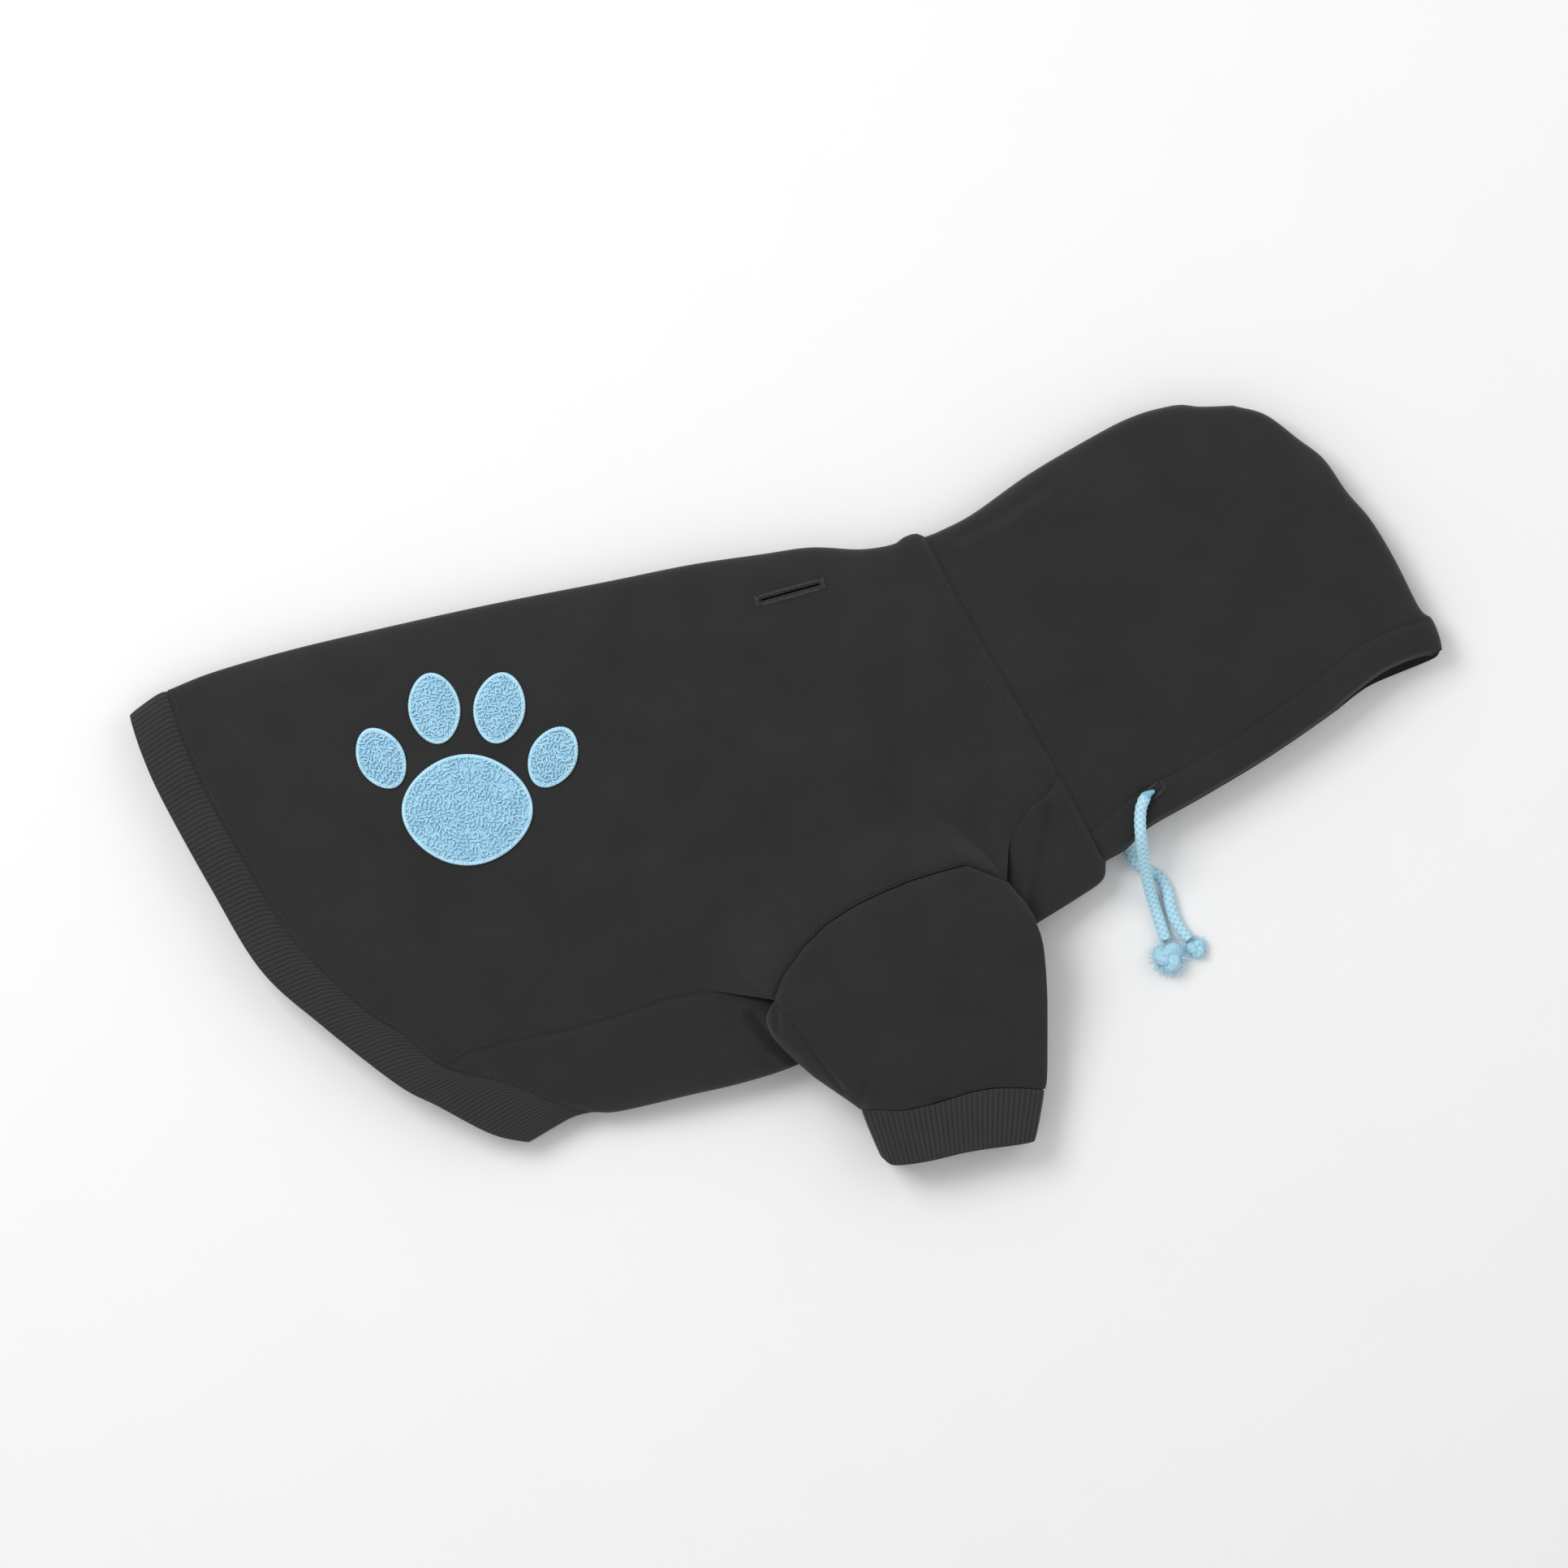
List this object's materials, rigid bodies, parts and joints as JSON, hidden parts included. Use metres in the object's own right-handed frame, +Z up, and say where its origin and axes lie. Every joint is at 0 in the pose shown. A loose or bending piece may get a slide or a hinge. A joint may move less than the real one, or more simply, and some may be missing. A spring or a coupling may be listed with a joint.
{
  "type": "dog hoodie",
  "caption": "Pull-on fleece hoodie for a dog, lying on its side: body tube with ribbed hem, two short sleeves with ribbed cuffs, hood with drawcord and a leash slit.",
  "frame": {"origin": "on the floor under the centre of the lying hoodie's box, the drawcord's free ends not counted", "axes": "+X from the hem towards the hood, +Y towards the back fold, +Z up from the floor through the wearer's right side"},
  "size_m": [0.6402, 0.34, 0.0399],
  "materials": {
    "fleece": "matt black brushed sweatshirt fleece",
    "rib_knit": "matt black rib knit",
    "loop_patch": "sky blue looped yarn",
    "braid": "sky blue flat braided cord"
  },
  "bodies": {
    "root": {"back_panel": "fleece", "belly_panel": "fleece", "hood_right": "fleece", "hood_left": "fleece", "sleeve_right": "fleece", "sleeve_left": "fleece", "hem_band": "rib_knit", "cuff_right": "rib_knit", "cuff_left": "rib_knit", "paw_pad": "loop_patch", "paw_toe_1": "loop_patch", "paw_toe_2": "loop_patch", "paw_toe_3": "loop_patch", "paw_toe_4": "loop_patch", "drawcord_right": "braid", "drawcord_left": "braid", "cord_knot_right": "braid", "cord_knot_left": "braid"}
  },
  "joints": []
}
